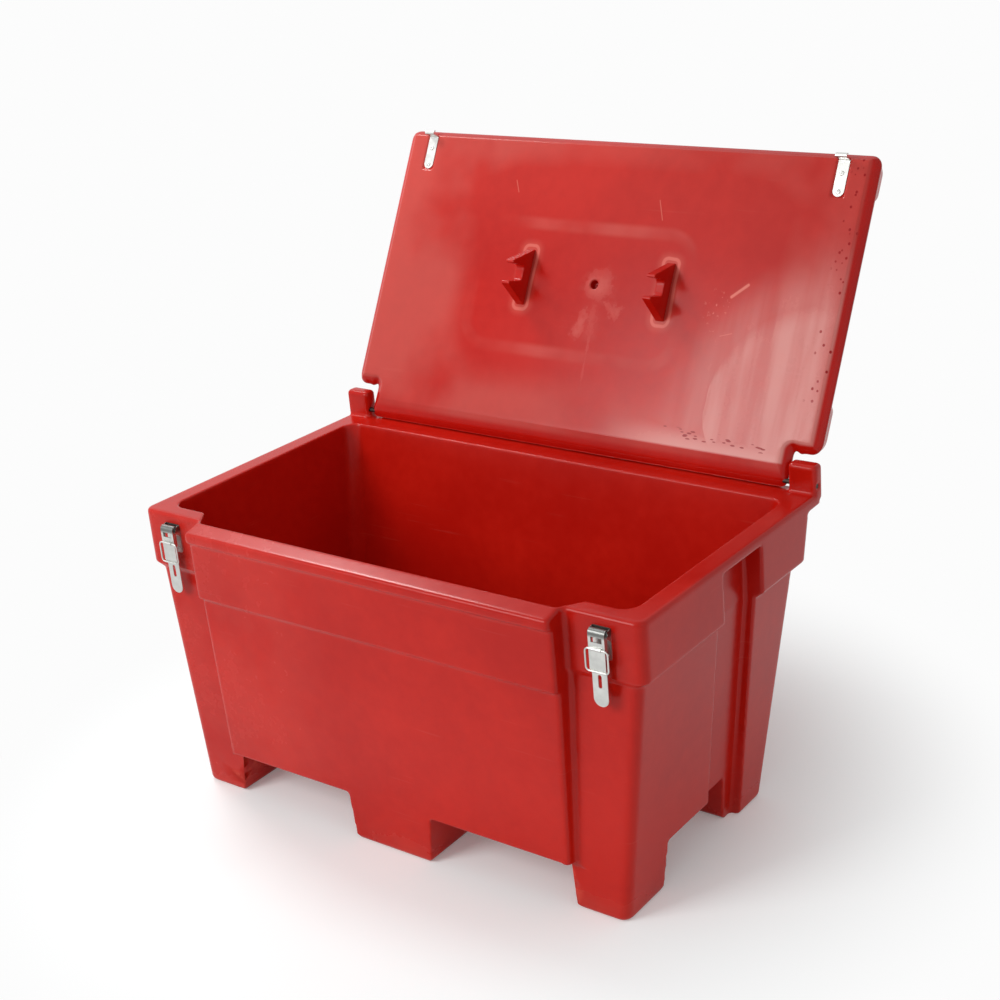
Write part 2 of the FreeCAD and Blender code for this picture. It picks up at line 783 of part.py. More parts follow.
def latch_lever(side):
    """Lever: arch round the pin, broad plate with flanges, and a slotted round-ended tongue."""
    half = lever_width / 2.0
    outer = arch_radius
    inner = arch_radius - latch_sheet
    front = pin_stand_off + arch_radius
    arch = latch_bar(side, outer, -half, half, pin_stand_off, 0.0)
    hollow = latch_bar(side, inner, -half - spare, half + spare, pin_stand_off, 0.0)
    lower_back = latch_prism(side, [
        (pin_stand_off, 0.0, 0.0),
        (front + outer, 0.0, 0.0),
        (front + outer, -outer * 2.0, 0.0),
        (-outer, -outer * 2.0, 0.0),
        (-outer, outer / 2.0, 0.0),
    ], -half - spare, half + spare)
    arch = arch.cut([hollow, lower_back])
    plate = latch_prism(side, [
        (front - latch_sheet, 0.0, 0.0),
        (front, 0.0, 0.0),
        (front, -lever_plate_length, 0.0),
        (front - latch_sheet, -lever_plate_length, 0.0),
    ], -half, half)
    plate = plate.makeFillet(plate_round, edges_through_sheet(plate, -lever_plate_length))
    tongue_half = tongue_width / 2.0
    jog_top = -lever_plate_length + tongue_half
    line = [
        (front - latch_sheet / 2.0, jog_top, 0.0),
        (front - latch_sheet / 2.0, -lever_plate_length + lever_jog, latch_sheet),
        (front - latch_sheet / 2.0 - lever_jog, -lever_plate_length - lever_jog, latch_sheet),
        (front - latch_sheet / 2.0 - lever_jog, -lever_total, 0.0),
    ]
    tongue = latch_prism(side, sheet_profile(line, latch_sheet), -tongue_half, tongue_half)
    tip = edges_through_sheet(tongue, -lever_total)
    tongue = tongue.makeFillet(tongue_half - round_end_slack, tip)
    flange = [
        (pin_stand_off - inner / 2.0, 0.0, 0.0),
        (front - latch_sheet / 2.0, 0.0, 0.0),
        (front - latch_sheet / 2.0, -lever_flange_length - outer, 0.0),
        (pin_stand_off, -lever_flange_length + outer / 2.0, flange_round),
        (pin_stand_off, -outer * 2.0, flange_round),
    ]
    flanges = []
    for start in (-half, half - latch_sheet):
        ring = latch_bar(side, outer - latch_sheet / 2.0, start, start + latch_sheet, pin_stand_off, 0.0)
        flanges += [ring, latch_prism(side, flange, start, start + latch_sheet)]
    curl_half = curl_width / 2.0
    curl_radius = wire_radius + running_clearance + curl_sheet
    curl = latch_bar(side, curl_radius, -curl_half, curl_half, loop_out, -loop_pivot_drop)
    lever = arch.fuse([plate, tongue, curl] + flanges)
    window = latch_prism(side, [
        (pin_stand_off, -window_drop, 0.0),
        (front + outer, -window_drop, 0.0),
        (front + outer, -window_drop - window_height, 0.0),
        (pin_stand_off, -window_drop - window_height, 0.0),
    ], -window_width / 2.0, window_width / 2.0)
    slot_half = tongue_slot_width / 2.0
    slot_low = -lever_total + tongue_slot_from_end
    slot_high = slot_low + tongue_slot_length
    end_radius = slot_half - round_end_slack
    slot = [
        (at_latch(side, -slot_half, front + spare, slot_low), end_radius),
        (at_latch(side, slot_half, front + spare, slot_low), end_radius),
        (at_latch(side, slot_half, front + spare, slot_high), end_radius),
        (at_latch(side, -slot_half, front + spare, slot_high), end_radius),
    ]
    reach = half + spare
    tools = [
        window,
        prism(slot, Vector(0, front, 0)),
        latch_bar(side, pin_radius + running_clearance, -reach, reach, pin_stand_off, 0.0),
        latch_bar(side, wire_radius + running_clearance, -reach, reach,
                  loop_out, -loop_pivot_drop),
    ]
    return lever.cut(tools).removeSplitter()


def latch_loop(side):
    """Wire loop: its top bar turns in the lever's curl and it hangs in front of the lever."""
    top_up = -loop_pivot_drop
    foot_up = top_up - loop_length
    middle = at_latch(side, 0.0, loop_out, top_up)
    corners = [
        middle,
        at_latch(side, loop_half, loop_out, top_up),
        at_latch(side, loop_half, loop_out, foot_up),
        at_latch(side, -loop_half, loop_out, foot_up),
        at_latch(side, -loop_half, loop_out, top_up),
        middle,
    ]
    points = [middle]
    for i in range(1, len(corners) - 1):
        back = (corners[i - 1] - corners[i]).normalize()
        ahead = (corners[i + 1] - corners[i]).normalize()
        points.append(corners[i] + back * loop_bend_cut)
        points.append(corners[i] + ahead * loop_bend_cut)
    points.append(middle)
    start = Part.Wire(Part.makeCircle(wire_radius, middle, Vector(1, 0, 0)))
    return Part.makePolygon(points).makePipeShell([start], True, False, 1)


os.makedirs("parts", exist_ok=True)
save(make_tub(), "tub")
save(lid_turned(make_lid()), "lid")
for name, side in (("left", -1), ("right", 1)):
    pin = hinge_pin()
    clip = tool_clip()
    save(pin if side > 0 else mirrored(pin), "hinge_pin_" + name)
    save(lid_turned(clip if side > 0 else mirrored(clip)), "tool_clip_" + name)
    save(lid_turned(keeper(side)), "keeper_" + name)
    save(lid_turned(keeper_screws(side)), "keeper_screws_" + name)
    save(latch_base(side), "latch_base_" + name)
    save(latch_rivets(side), "latch_rivets_" + name)
    save(latch_pin(side), "latch_pin_" + name)
    save(latch_lever(side), "latch_lever_" + name)
    save(latch_loop(side), "latch_loop_" + name)
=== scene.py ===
"""Looks of a grit salt bin: soft moulded plastic, stainless latches and a pale studio."""

import json
import math

import bmesh
import bpy
from bpy.props import FloatProperty, FloatVectorProperty, IntProperty, PointerProperty
from mathutils import Matrix, Vector


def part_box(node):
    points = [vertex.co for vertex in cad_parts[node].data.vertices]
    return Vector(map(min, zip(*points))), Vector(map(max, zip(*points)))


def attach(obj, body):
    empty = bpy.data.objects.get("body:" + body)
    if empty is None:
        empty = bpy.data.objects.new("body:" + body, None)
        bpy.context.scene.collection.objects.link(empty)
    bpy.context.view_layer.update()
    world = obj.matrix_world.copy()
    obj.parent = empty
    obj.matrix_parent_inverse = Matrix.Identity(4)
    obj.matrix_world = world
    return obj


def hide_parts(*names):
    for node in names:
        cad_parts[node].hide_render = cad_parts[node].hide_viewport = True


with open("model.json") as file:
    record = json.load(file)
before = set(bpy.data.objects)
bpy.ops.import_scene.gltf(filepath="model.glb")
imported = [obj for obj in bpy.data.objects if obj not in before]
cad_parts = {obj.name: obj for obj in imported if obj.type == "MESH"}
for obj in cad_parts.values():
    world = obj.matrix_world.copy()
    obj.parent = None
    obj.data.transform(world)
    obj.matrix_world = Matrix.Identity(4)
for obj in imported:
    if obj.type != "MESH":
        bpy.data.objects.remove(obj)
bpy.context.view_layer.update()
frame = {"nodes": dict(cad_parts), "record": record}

bl_info = {
    "name": "Grit Salt Bin Looks",
    "version": (1, 0, 0),
    "blender": (4, 5, 0),
    "location": "3D View > Sidebar > Grit Bin",
    "description": "Dresses the packed grit salt bin and sets up its camera, studio and materials",
    "category": "Object",
}

SIDES = ("left", "right")
STEEL_NODES = ("keeper", "latch_base", "latch_rivets", "latch_pin", "latch_lever")
SCREWS_PER_KEEPER = 2
SENSOR_WIDTH = 36.0
MERGE_DISTANCE = 1e-6


def linear(red, green, blue):
    """Linear colour from screen values of 0 to 255."""
    def one(value):
        share = value / 255.0
        return share / 12.92 if share <= 0.04045 else ((share + 0.055) / 1.055) ** 2.4
    return (one(red), one(green), one(blue), 1.0)


# Colours of wear and marks on the red plastic, and of the painted reflection and highlight on the
# lid

EDGE_TINT = linear(226, 96, 74)
# pale haze on the lid, partly scuffing and partly painted reflection, and the rubbed band round its
# clips
SCUFF_TINT = linear(232, 150, 135)
# pale painted reflection and highlight on the lid's inner side
HAZE_AND_REFLECTION_TINT = linear(214, 120, 110)
PAINTED_SHEEN_TINT = linear(232, 174, 166)
CRUST_TINT = linear(232, 140, 128)
RING_TINT = linear(232, 130, 116)
SCRAPE_TINT = linear(240, 150, 132)
WET_TINT = linear(150, 0, 4)
FOOT_TINT = linear(190, 110, 95)
# patches on the tub's front, paler towards its left
LEFT_FRONT_TINT = linear(205, 84, 76)


# Settings

class CameraSettings(bpy.types.PropertyGroup):
    """Where the camera stands and how it is turned."""

    place: FloatVectorProperty(
        name="Place", description="Where the camera stands",
        default=(2.025, -2.442, 1.870), subtype="TRANSLATION", unit="LENGTH")
    yaw: FloatProperty(
        name="Yaw", description="Turn from the bin's depth line towards the right",
        default=math.radians(-35.16), subtype="ANGLE")
    pitch: FloatProperty(
        name="Pitch", description="Tilt above the level",
        default=math.radians(-21.84), subtype="ANGLE")
    roll: FloatProperty(
        name="Roll", description="Turn about the line of sight",
        default=math.radians(-3.84), subtype="ANGLE")
    lens: FloatProperty(
        name="Lens", description="Focal length for a 36 mm sensor", default=60.8, unit="CAMERA")
    shift: FloatProperty(
        name="Shift", description="Sideways shift of the picture, in picture widths", default=-0.1)


class StudioSettings(bpy.types.PropertyGroup):
    """The lamps, the floor and the world."""

    key_place: FloatVectorProperty(
        name="Key Place", description="Where the main lamp hangs, at the front left",
        default=(-1.5, -3.2, 2.5), subtype="TRANSLATION", unit="LENGTH")
    key_power: FloatProperty(
        name="Key", description="Power of the main lamp", default=78.0, unit="POWER")
    key_size: FloatProperty(
        name="Key Size", description="Side of the main lamp", default=1.8, unit="LENGTH")
    top_place: FloatVectorProperty(
        name="Top Place", description="Where the second lamp hangs, above and to the left",
        default=(-1.9, 0.3, 2.9), subtype="TRANSLATION", unit="LENGTH")
    top_power: FloatProperty(
        name="Top", description="Power of the second lamp", default=34.0, unit="POWER")
    top_size: FloatProperty(
        name="Top Size", description="Side of the second lamp", default=0.7, unit="LENGTH")
    fill_place: FloatVectorProperty(
        name="Fill Place", description="Where the weak lamp hangs, at the right",
        default=(3.2, -1.0, 1.4), subtype="TRANSLATION", unit="LENGTH")
    fill_power: FloatProperty(
        name="Fill", description="Power of the weak lamp", default=2.5, unit="POWER")
    fill_size: FloatProperty(
        name="Fill Size", description="Side of the weak lamp", default=1.6, unit="LENGTH")
    aim_height: FloatProperty(
        name="Aim", description="Height over the origin that the lamps look at",
        default=0.5, unit="LENGTH")
    world_level: FloatProperty(
        name="World", description="Strength of the even light all round", default=0.49)
    white: FloatProperty(
        name="White", description="Level of the background that the camera and reflections see",
        default=0.974)
    floor_colour: FloatVectorProperty(
        name="Floor Colour", description="Colour of the floor, with less red beside a red bin",
        size=4, default=(0.8836, 0.94, 0.94, 1.0), subtype="COLOR", min=0.0, max=1.0)
    floor_lift: FloatProperty(
        name="Floor Lift", description="Glow that the camera and reflections see on the floor",
        default=0.14)
    floor_size: FloatProperty(
        name="Floor Size", description="Side of the floor", default=60.0, unit="LENGTH")
    fade_start: FloatProperty(
        name="Fade Start", description="Distance from the origin where the floor turns white",
        default=0.5, unit="LENGTH")
    fade_end: FloatProperty(
        name="Fade End", description="Distance from the origin where the floor is all white",
        default=1.15, unit="LENGTH")


class MouldingSettings(bpy.types.PropertyGroup):
    """Colours of the moulded pieces, and how they get their soft edges."""

    tub_deep: FloatVectorProperty(
        name="Tub Deep", description="Deeper red of the tub",
        size=4, default=linear(176, 18, 8), subtype="COLOR", min=0.0, max=1.0)
    tub_bright: FloatVectorProperty(
        name="Tub Bright", description="Brighter red of the tub",
        size=4, default=linear(196, 28, 15), subtype="COLOR", min=0.0, max=1.0)
    lid_deep: FloatVectorProperty(
        name="Lid Deep", description="Deeper red of the lid",
        size=4, default=linear(174, 14, 6), subtype="COLOR", min=0.0, max=1.0)
    lid_bright: FloatVectorProperty(
        name="Lid Bright", description="Brighter red of the lid",
        size=4, default=linear(194, 23, 11), subtype="COLOR", min=0.0, max=1.0)
    clip_deep: FloatVectorProperty(
        name="Clip Deep", description="Deeper red of the tool clips",
        size=4, default=linear(178, 17, 8), subtype="COLOR", min=0.0, max=1.0)
    clip_bright: FloatVectorProperty(
        name="Clip Bright", description="Brighter red of the tool clips",
        size=4, default=linear(198, 27, 15), subtype="COLOR", min=0.0, max=1.0)
    tub_voxel: FloatProperty(
        name="Tub Voxel", description="Grid size that the tub is remade on",
        default=0.0030, unit="LENGTH")
    tub_rounds: IntProperty(
        name="Tub Rounds", description="Smoothing rounds that soften the tub's edges", default=3)
    lid_voxel: FloatProperty(
        name="Lid Voxel", description="Grid size that the lid is remade on",
        default=0.0022, unit="LENGTH")
    lid_rounds: IntProperty(
        name="Lid Rounds", description="Smoothing rounds that soften the lid's edges", default=5)
    clip_voxel: FloatProperty(
        name="Clip Voxel", description="Grid size that a tool clip is remade on",
        default=0.0012, unit="LENGTH")
    clip_rounds: IntProperty(
        name="Clip Rounds", description="Smoothing rounds that soften a clip's edges", default=6)
    most_triangles: IntProperty(
        name="Most Triangles", description="Triangles that a moulded piece is thinned to",
        default=150000)
    roll_width: FloatProperty(
        name="Roll Width", description="Width of the band that falls away round the lid's edge",
        default=0.021, unit="LENGTH")
    roll_depth: FloatProperty(
        name="Roll Depth", description="How far that band falls away",
        default=0.007, unit="LENGTH")
    heel_width: FloatProperty(
        name="Heel Width", description="Width of the same band along the hinge",
        default=0.043, unit="LENGTH")
    heel_depth: FloatProperty(
        name="Heel Depth", description="How far the band along the hinge falls away",
        default=0.0135, unit="LENGTH")
    notch_half: FloatProperty(
        name="Notch Place", description="Half width of the lid between its notches",
        default=0.540, unit="LENGTH")
    notch_along: FloatProperty(
        name="Notch Depth", description="How far a notch reaches from the hinge line",
        default=0.080, unit="LENGTH")
    notch_fill: FloatProperty(
        name="Notch Fill", description="How far the lid's edge comes down into its notches",
        default=0.021, unit="LENGTH")
    leg_edge: FloatProperty(
        name="Leg Edge", description="Where an outer leg's front begins, from the middle",
        default=0.412, unit="LENGTH")
    leg_clear: FloatProperty(
        name="Leg Clear", description="Where its front is clear of the panel, from the middle",
        default=0.480, unit="LENGTH")
    leg_top: FloatProperty(
        name="Leg Top", description="Height of the crease, up to which the leg leans evenly",
        default=0.462, unit="LENGTH")
    pocket_roof: FloatProperty(
        name="Pocket Roof", description="Height up to which the panel's edge is cleared away",
        default=0.1035, unit="LENGTH")


class HardwareSettings(bpy.types.PropertyGroup):
    """Colours of the metal pieces, and the sizes of wire loops and screws."""

    steel_deep: FloatVectorProperty(
        name="Steel Deep", description="Deeper grey of the stainless pieces",
        size=4, default=linear(186, 187, 184), subtype="COLOR", min=0.0, max=1.0)
    steel_bright: FloatVectorProperty(
        name="Steel Bright", description="Brighter grey of the stainless pieces",
        size=4, default=linear(224, 225, 221), subtype="COLOR", min=0.0, max=1.0)
    # painted dark reflection on a lever's arched top
    arch_painted_reflection: FloatVectorProperty(
        name="Arch Dark", description="Dark tint on the arched top of a lever",
        size=4, default=linear(52, 54, 52), subtype="COLOR", min=0.0, max=1.0)
    pin_deep: FloatVectorProperty(
        name="Pin Deep", description="Deeper grey of the hinge pins",
        size=4, default=linear(46, 40, 38), subtype="COLOR", min=0.0, max=1.0)
    pin_bright: FloatVectorProperty(
        name="Pin Bright", description="Brighter grey of the hinge pins",
        size=4, default=linear(84, 76, 72), subtype="COLOR", min=0.0, max=1.0)
    wire_radius: FloatProperty(
        name="Wire Radius", description="Radius of the loop's wire", default=0.00175, unit="LENGTH")
    wire_bend: FloatProperty(
        name="Wire Bend", description="Radius of the loop's corners", default=0.007, unit="LENGTH")
    head_radius: FloatProperty(
        name="Head Radius", description="Radius of a screw's head", default=0.005, unit="LENGTH")
    head_height: FloatProperty(
        name="Head Height", description="Height of a screw's head", default=0.002, unit="LENGTH")
    recess_reach: FloatProperty(
        name="Recess Reach", description="Half length of the cross in a head",
        default=0.0028, unit="LENGTH")
    recess_width: FloatProperty(
        name="Recess Width", description="Width of the cross in a head",
        default=0.0011, unit="LENGTH")


# Shader building

class Shade:
    """A shader socket that adds, multiplies and compares as a number does."""

    def __init__(self, tree, socket=None):
        self.tree = tree
        self.socket = socket

    def node(self, kind, settings=None, inputs=None, output=0):
        """Any node, with its settings and its inputs by name or number."""
        made = self.tree.nodes.new(kind)
        for key, value in (settings or {}).items():
            setattr(made, key, value)
        for key, value in (inputs or {}).items():
            if isinstance(value, Shade):
                self.tree.links.new(value.socket, made.inputs[key])
            else:
                made.inputs[key].default_value = value
        return Shade(self.tree, made.outputs[output])

    def math(self, operation, *values):
        """One Math node on up to three values."""
        return self.node("ShaderNodeMath", {"operation": operation}, dict(enumerate(values)))

    def __add__(self, other):
        return self.math("ADD", self, other)

    def __radd__(self, other):
        return self.math("ADD", other, self)

    def __sub__(self, other):
        return self.math("SUBTRACT", self, other)

    def __rsub__(self, other):
        return self.math("SUBTRACT", other, self)

    def __mul__(self, other):
        return self.math("MULTIPLY", self, other)

    def __rmul__(self, other):
        return self.math("MULTIPLY", other, self)

    def __truediv__(self, other):
        return self.math("DIVIDE", self, other)

    def __rtruediv__(self, other):
        return self.math("DIVIDE", other, self)

    def __abs__(self):
        return self.math("ABSOLUTE", self)

    def step(self, low, high):
        """0 below low, 1 above high and smooth between them. High may be the smaller one."""
        return self.node("ShaderNodeMapRange", {"interpolation_type": "SMOOTHSTEP"},
                         {"Value": self, "From Min": low, "From Max": high})

    def larger(self, other):
        return self.math("MAXIMUM", self, other)

    def smaller(self, other):
        return self.math("MINIMUM", self, other)

    def length(self, other):
        """Length of the line whose two legs these are."""
        return self.math("SQRT", self * self + other * other)

    def plate(self, x, y, centre, half, radius):
        """Distance to the outline of a rounded rectangle, negative inside it."""
        across = abs(x - centre[0]) - (half[0] - radius)
        along = abs(y - centre[1]) - (half[1] - radius)
        outside = across.larger(0.0).length(along.larger(0.0))
        return outside + across.larger(along).smaller(0.0) - radius

    def stroke(self, x, y, start, end):
        """Distance to a straight line between two points."""
        reach = (end[0] - start[0], end[1] - start[1])
        square = reach[0] ** 2 + reach[1] ** 2
        share = (x - start[0]) * (reach[0] / square) + (y - start[1]) * (reach[1] / square)
        share = share.larger(0.0).smaller(1.0)
        return (x - start[0] - share * reach[0]).length(y - start[1] - share * reach[1])

    def mapped(self, place, scale, turn=(0.0, 0.0, 0.0)):
        """A place turned and then scaled along its axes."""
        return self.node("ShaderNodeMapping", inputs={
            "Vector": place, "Rotation": turn, "Scale": scale})

    def dots(self, place, scale, size):
        """Round spots scattered over a place whose axes are scaled."""
        cells = self.node("ShaderNodeTexVoronoi", inputs={
            "Vector": self.mapped(place, scale), "Scale": 1.0})
        return cells.step(size, size * 0.7)

    def parts(self):
        """The three numbers of a vector."""
        split = self.node("ShaderNodeSeparateXYZ", inputs={"Vector": self}).socket.node
        return [Shade(self.tree, split.outputs[axis]) for axis in "XYZ"]

    def noise(self, place, scale, detail=2.0, roughness=0.5):
        """Cloudy noise between 0 and 1."""
        return self.node("ShaderNodeTexNoise", inputs={
            "Vector": place, "Scale": scale, "Detail": detail, "Roughness": roughness})

    def tint(self, share, low, high):
        """Colour between two colours. A Mix node holds its colour sockets at 6, 7 and 2."""
        return self.node("ShaderNodeMix", {"data_type": "RGBA"}, {0: share, 6: low, 7: high},
                         output=2)


def new_material(name):
    """Empty material, a Shade to build it with and its output node."""
    material = bpy.data.materials.new(name)
    material.use_nodes = True
    material.node_tree.nodes.clear()
    build = Shade(material.node_tree)
    end = material.node_tree.nodes.new("ShaderNodeOutputMaterial")
    return material, build, end


def close_material(build, end, shader):
    """Links the finished shader to the material's surface."""
    build.tree.links.new(shader.socket, end.inputs["Surface"])


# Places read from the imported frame

def lid_joint():
    """Hinge point of the lid and how far it stands open."""
    for joint in frame["record"]["behaviour"]["joints"]:
        if joint["name"] == "lid_hinge":
            return Vector(joint["pos_m"]), math.radians(joint["range_deg"][1])
    raise RuntimeError("the frame has no lid_hinge")


def lid_axes():
    """Hinge point, the way along the open lid and the way out of its inner side."""
    hinge, angle = lid_joint()
    along = Vector((0.0, -math.cos(angle), math.sin(angle)))
    out = Vector((0.0, -math.sin(angle), -math.cos(angle)))
    return hinge, along, out


def lid_points(node):
    """A node's vertices as (across, along, out) from the lid's hinge line."""
    hinge, along, out = lid_axes()
    found = []
    for vertex in frame["nodes"][node].data.vertices:
        arm = vertex.co - hinge
        found.append((vertex.co.x, arm.dot(along), arm.dot(out)))
    return found


def span(values):
    """The smallest and the largest of some values."""
    values = list(values)
    return min(values), max(values)


# Materials

PLASTIC_ROUGHNESS = 0.18
PLASTIC_GLOSS = 0.21
WORN_SHARE = 0.30
SCUFF_SHARE = 0.03
# a lever's arched top gets a painted dark reflection between these heights
ARCH_BELOW = (-0.017, -0.009)  # heights from a lever's top where its dark tint sets in
ARCH_ABOVE = (0.004, 0.002)  # and where it has ended again
ARCH_SHARE = 0.75


def moulded(name, deep, bright, marks=None):
    """Moulded polyethylene: a soft gloss over slow colour drift, worn edges and fine scuffs."""
    material, build, end = new_material(name)
    place = build.node("ShaderNodeTexCoord", output="Object")
    drift = build.noise(place, scale=2.6, detail=3.0)
    mottle = build.noise(place, scale=38.0, detail=4.0, roughness=0.6)
    grain = build.noise(place, scale=900.0)
    share = (drift * 0.75 + mottle * 0.25).step(0.3, 0.7)
    colour = build.tint(share, deep, bright)
    edge = build.node("ShaderNodeNewGeometry", output="Pointiness").step(0.52, 0.60)
    worn = edge * mottle.step(0.35, 0.65)
    colour = build.tint(worn * WORN_SHARE, colour, EDGE_TINT)
    scuffs = scuff_lines(build, place)
    colour = build.tint(scuffs * SCUFF_SHARE, colour, SCUFF_TINT)
    roughness = PLASTIC_ROUGHNESS + mottle * 0.10 + scuffs * 0.02
    if marks:
        colour, roughness = marks(build, place, colour, roughness)
    bump = build.node("ShaderNodeBump", inputs={
        "Height": grain * 0.35 + mottle, "Strength": 0.05, "Distance": 0.002})
    shader = build.node("ShaderNodeBsdfPrincipled", inputs={
        "Base Color": colour, "Roughness": roughness, "Normal": bump, "IOR": 1.5,
        "Specular IOR Level": PLASTIC_GLOSS})
    close_material(build, end, shader)
    return material


def scuff_lines(build, place):
    """Thin broken scratches that run in two slanted directions."""
    lines = None
    for turn in (0.5, -0.9):
        turned = build.mapped(place, (4.0, 4.0, 150.0), (turn, turn * 0.6, turn))
        streak = build.noise(turned, scale=1.0, detail=1.0).step(0.70, 0.74)
        lines = streak if lines is None else lines.larger(streak)
    gaps = build.noise(place, scale=7.0).step(0.52, 0.66)
    return lines * gaps


# Places on the lid's inner side, in metres: across the lid from its middle, and along it from
# the hinge line. A plate is its centre, half sizes and corner radius. A stroke is its start,
# its end and the half width that comes off the distance to it.

CLEAN_MIDDLE = ((0.048, 0.36), (0.362, 0.21), 0.08)
RUBBED_BAND = ((-0.036, 0.327), (0.272, 0.141), 0.06)
# where the painted reflection lies at the lower right of the lid
SHEEN = ((0.535, 0.17), (0.20, 0.155), 0.14)
DRAIN_HALO = ((0.008, 0.340), (0.034, 0.028), 0.026)
DRAIN_RUNS = (
    ((0.002, 0.325), (-0.020, 0.240), 0.007),
    ((0.016, 0.325), (0.066, 0.288), 0.006),
)
DRAIN_WASH = (((0.010, 0.300), (0.014, 0.240), 0.012),)
DRAIN_TRAIL = ((0.014, 0.280), (0.020, 0.115))
SCRAPES = (
    ((0.338, 0.351), (0.371, 0.379), 0.0015),
    ((0.120, 0.540), (0.136, 0.498), -0.001),
    ((-0.262, 0.561), (-0.250, 0.535), -0.001),
    ((0.330, 0.268), (0.356, 0.276), -0.001),
)
NICKS = ((0.310, 0.330), (0.340, 0.275))
LOW_DROPS = ((0.25, 0.060), (0.48, 0.055))


class LidSide:
    """The lid's inner side: distances across it and along it, and masks of its marks and of its
    painted sheen.
    """

    def __init__(self, build, place):
        hinge, along, out = lid_axes()
        x, y, z = place.parts()
        depth = y - hinge.y
        rise = z - hinge.z
        self.build = build
        self.place = place
        self.x = x
        self.s = depth * along.y + rise * along.z
        self.inner = (depth * out.y + rise * out.z).step(0.010, 0.0135)
        self.flow = build.noise(place, scale=9.0, detail=3.0)
        self.cloud = build.noise(place, scale=3.4, detail=3.0)
        self.fine = build.noise(place, scale=60.0, detail=3.0, roughness=0.6)

    def stroke(self, start, end):
        """Distance to a straight line on the lid."""
        return self.build.stroke(self.x, self.s, start, end)

    def strokes(self, table):
        """Distance to the nearest stroke of a table, less its half width."""
        nearest = None
        for start, end, half in table:
            distance = self.stroke(start, end) - half
            nearest = distance if nearest is None else nearest.smaller(distance)
        return nearest

    def haze_and_reflection(self):
        """Pale haze along the margin, and a thin one towards the front edge, partly scuffing and
        partly painted reflection.
        """
        margin = self.build.plate(self.x, self.s, *CLEAN_MIDDLE).step(-0.01, 0.08)
        left = 0.31 - self.x.step(-0.40, 0.1) * 0.11
        front = self.s.step(0.30, 0.60) * 0.08
        return (margin * self.cloud.step(0.25, 0.55) * left).larger(front)

    def band(self):
        """Rubbed band round the clips, strongest along its upper and lower run."""
        line = abs(self.build.plate(self.x + self.flow * 0.02, self.s, *RUBBED_BAND))
        middle = RUBBED_BAND[0][1]
        strength = 0.35 + abs(self.s - middle).step(0.09, 0.14) * 0.65
        return line.step(0.020, 0.006) * strength * self.cloud.step(0.38, 0.60)

    def sheen(self):
        """Painted sheen: a pale painted reflection at the lower right and up the right margin, and
        a painted highlight along the hinge.
        """
        x, s = self.x, self.s
        streaks = self.build.noise(
            self.build.mapped(self.place, (22.0, 2.2, 2.2)), scale=1.0, detail=3.0)
        lean = (0.45 - x) * 0.35
        disc = self.build.plate(x + self.flow * 0.012, s + lean, *SHEEN)
        edge = 0.004 + s.step(0.15, 0.27) * 0.09
        core = ((0.0 - disc) / edge + 0.5).step(0.0, 1.0) * 0.9
        spread = disc.step(0.13, 0.0) * 0.45
        margin = x.step(0.47, 0.57) * s.step(0.56, 0.30) * 0.8
        painted_sheen = core.larger(spread).larger(margin) * (0.5 + streaks.step(0.3, 0.62) * 0.5)
        # painted highlight along the rounding at the hinge
        hinge = x.step(0.05, 0.3) * (s - 0.032).step(0.050, 0.0)
        return painted_sheen.larger(hinge) * s.step(0.028, 0.033)

    def crust(self):
        """Pale crust round the drain hole, and where it ran down from there."""
        ragged = (self.fine - 0.5) * 0.045 + (self.flow - 0.5) * 0.08
        halo = (self.build.plate(self.x, self.s, *DRAIN_HALO) + ragged).step(0.022, -0.016)
        run = (self.strokes(DRAIN_RUNS) + ragged).step(0.013, -0.008)
        wash = (self.strokes(DRAIN_WASH) + ragged).step(0.02, -0.02) * 0.45
        trail = (self.stroke(*DRAIN_TRAIL) + ragged * 0.3).step(0.007, 0.001)
        trail = trail * self.s.step(0.10, 0.16) * 0.5
        return halo.larger(run).larger(wash).larger(trail)

    def ring(self, side):
        """Pale ring round the foot of one tool clip."""
        spots = lid_points("tool_clip_" + side)
        left, right = span(p[0] for p in spots)
        near, far = span(p[1] for p in spots)
        foot = self.build.plate(
            self.x, self.s, ((left + right) / 2.0, (near + far) / 2.0),
            ((right - left) / 2.0, (far - near) / 2.0), 0.003)
        foot = foot + (self.flow - 0.5) * 0.012
        line = abs(foot - 0.009).step(0.006, 0.002) * 0.55
        return line.larger(foot.step(0.030, 0.004) * 0.22)

    def scrapes(self):
        """Short scrapes, and a patch of nicks beside the right clip."""
        patch = self.stroke(*NICKS).step(0.05, 0.01)
        speckle = self.build.noise(self.place, scale=95.0, detail=4.0, roughness=0.65)
        nicks = patch * speckle.step(0.60, 0.66) * self.flow.step(0.45, 0.6)
        return self.strokes(SCRAPES).step(0.003, 0.0).larger(nicks * 0.7)

    def droplets(self):
        """Wet drops down the right margin and in a row above the hinge."""
        right = self.build.dots(self.place, (78.0, 70.0, 70.0), 0.26)
        right = right * self.x.step(0.540, 0.555) * self.s.step(0.14, 0.17)
        low = self.build.dots(self.place, (50.0, 150.0, 150.0), 0.33)
        return right.larger(low * self.stroke(*LOW_DROPS).step(0.013, 0.008))


